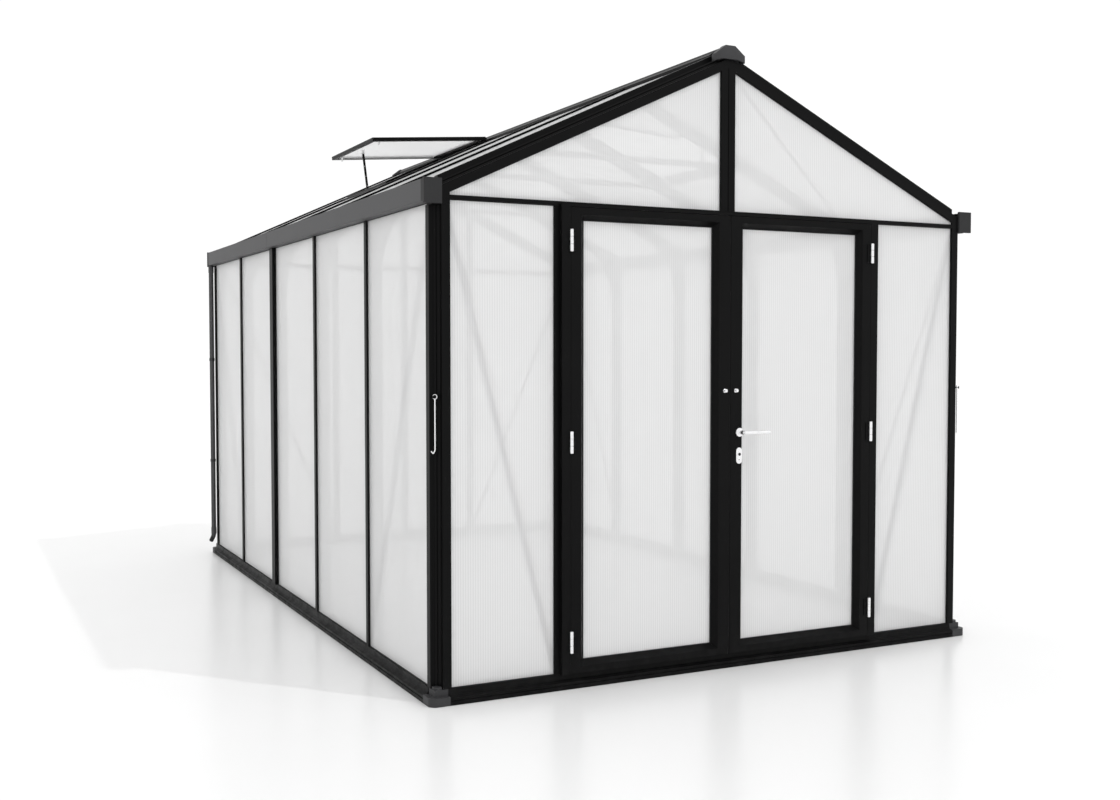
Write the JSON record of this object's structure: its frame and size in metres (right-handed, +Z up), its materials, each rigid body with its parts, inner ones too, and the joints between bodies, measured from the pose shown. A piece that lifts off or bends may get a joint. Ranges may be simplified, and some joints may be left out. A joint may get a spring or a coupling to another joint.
{
  "type": "walk-in greenhouse",
  "caption": "Walk-in greenhouse: black aluminium frame, twin-wall panes, outward double doors, gutters with downpipes, and two propped roof vents.",
  "frame": {"origin": "on the ground, under the middle of the bounding box", "axes": "+Z up, +Y from the door end to the rear, +X to the right seen from the doors"},
  "size_m": [2.789, 4.2215, 2.665],
  "materials": {
    "black_aluminium": "satin black powder coat",
    "gutter_grey": "satin dark grey powder coat",
    "corner_plastic": "moulded dark grey plastic",
    "twin_wall_pane": "translucent twin-wall polycarbonate with fine upright flutes",
    "bright_steel": "bright satin steel"
  },
  "bodies": {
    "house": {"base_corner_front_left": "corner_plastic", "base_corner_front_right": "corner_plastic", "base_corner_rear_left": "corner_plastic", "base_corner_rear_right": "corner_plastic", "base_front": "black_aluminium", "base_left": "black_aluminium", "base_rear": "black_aluminium", "base_right": "black_aluminium", "corner_post_left": "black_aluminium", "corner_post_right": "black_aluminium", "door_frame": "black_aluminium", "front_gable_frame": "black_aluminium", "front_pane_left": "twin_wall_pane", "front_pane_right": "twin_wall_pane", "gable_pane_left": "twin_wall_pane", "gable_pane_right": "twin_wall_pane", "gutter_left": "gutter_grey", "gutter_right": "gutter_grey", "portal_frame_1": "black_aluminium", "portal_frame_2": "black_aluminium", "portal_frame_3": "black_aluminium", "portal_frame_4": "black_aluminium", "rear_frame": "black_aluminium", "rear_pane_1": "twin_wall_pane", "rear_pane_2": "twin_wall_pane", "rear_pane_3": "twin_wall_pane", "rear_pane_4": "twin_wall_pane", "ridge_beam": "black_aluminium", "roof_pane_left_1": "twin_wall_pane", "roof_pane_left_2": "twin_wall_pane", "roof_pane_left_3": "twin_wall_pane", "roof_pane_left_4": "twin_wall_pane", "roof_pane_left_5": "twin_wall_pane", "roof_pane_right_1": "twin_wall_pane", "roof_pane_right_2": "twin_wall_pane", "roof_pane_right_3": "twin_wall_pane", "roof_pane_right_4": "twin_wall_pane", "roof_pane_right_5": "twin_wall_pane", "side_pane_left_1": "twin_wall_pane", "side_pane_left_2": "twin_wall_pane", "side_pane_left_3": "twin_wall_pane", "side_pane_left_4": "twin_wall_pane", "side_pane_left_5": "twin_wall_pane", "side_pane_right_1": "twin_wall_pane", "side_pane_right_2": "twin_wall_pane", "side_pane_right_3": "twin_wall_pane", "side_pane_right_4": "twin_wall_pane", "side_pane_right_5": "twin_wall_pane"},
    "door_left": {"door_leaf_left": "black_aluminium", "door_pane_left": "twin_wall_pane"},
    "door_right": {"door_leaf_right": "black_aluminium", "door_pane_right": "twin_wall_pane", "lock_plate": "bright_steel"},
    "lever": {"lever_handle": "bright_steel"},
    "hook_left": {"wind_hook_left": "bright_steel"},
    "hook_right": {"wind_hook_right": "bright_steel"},
    "vent_left": {"roof_vent_left": "black_aluminium"},
    "vent_right": {"roof_vent_right": "black_aluminium"},
    "stay_left": {"vent_stay_left": "black_aluminium"},
    "stay_right": {"vent_stay_right": "black_aluminium"}
  },
  "joints": [
    {"name": "door_left_hinge", "type": "hinge", "parent": "house", "child": "door_left", "pos_m": [-0.768, -2.06225, 1.003], "axis": [0, 0, -1], "range_deg": [0, 165]},
    {"name": "door_right_hinge", "type": "hinge", "parent": "house", "child": "door_right", "pos_m": [0.768, -2.06225, 1.003], "axis": [0, 0, 1], "range_deg": [0, 165]},
    {"name": "lever_turn", "type": "hinge", "parent": "door_right", "child": "lever", "pos_m": [0.046, -2.03225, 1.02], "axis": [0, 1, 0], "range_deg": [0, 40], "stiffness_Nm_per_rad": 1.2, "springref_deg": -34.38},
    {"name": "hook_left_swing", "type": "hinge", "parent": "house", "child": "hook_left", "pos_m": [-1.33514, -2.01739, 1.195], "axis": [-0.7071, -0.7071, 0], "range_deg": [-60, 45]},
    {"name": "hook_right_swing", "type": "hinge", "parent": "house", "child": "hook_right", "pos_m": [1.33514, -2.01739, 1.195], "axis": [0.7071, -0.7071, 0], "range_deg": [-45, 60]},
    {"name": "vent_left_hinge", "type": "hinge", "parent": "house", "child": "vent_left", "pos_m": [-0.056, 0.85175, 2.64413], "axis": [0, 1, 0], "range_deg": [-20.3, 0]},
    {"name": "vent_right_hinge", "type": "hinge", "parent": "house", "child": "vent_right", "pos_m": [0.056, -0.79625, 2.64413], "axis": [0, -1, 0], "range_deg": [-20.3, 0]},
    {"name": "stay_left_pivot", "type": "hinge", "parent": "vent_left", "child": "stay_left", "pos_m": [-0.69205, 0.85175, 2.56976], "axis": [0, 1, 0], "range_deg": [0, 20.3]},
    {"name": "stay_right_pivot", "type": "hinge", "parent": "vent_right", "child": "stay_right", "pos_m": [0.69205, -0.79625, 2.56976], "axis": [0, -1, 0], "range_deg": [0, 20.3]}
  ],
  "couplings": [
    {"joint": "stay_left_pivot", "follows": "vent_left_hinge", "ratio": -1},
    {"joint": "stay_right_pivot", "follows": "vent_right_hinge", "ratio": -1}
  ]
}
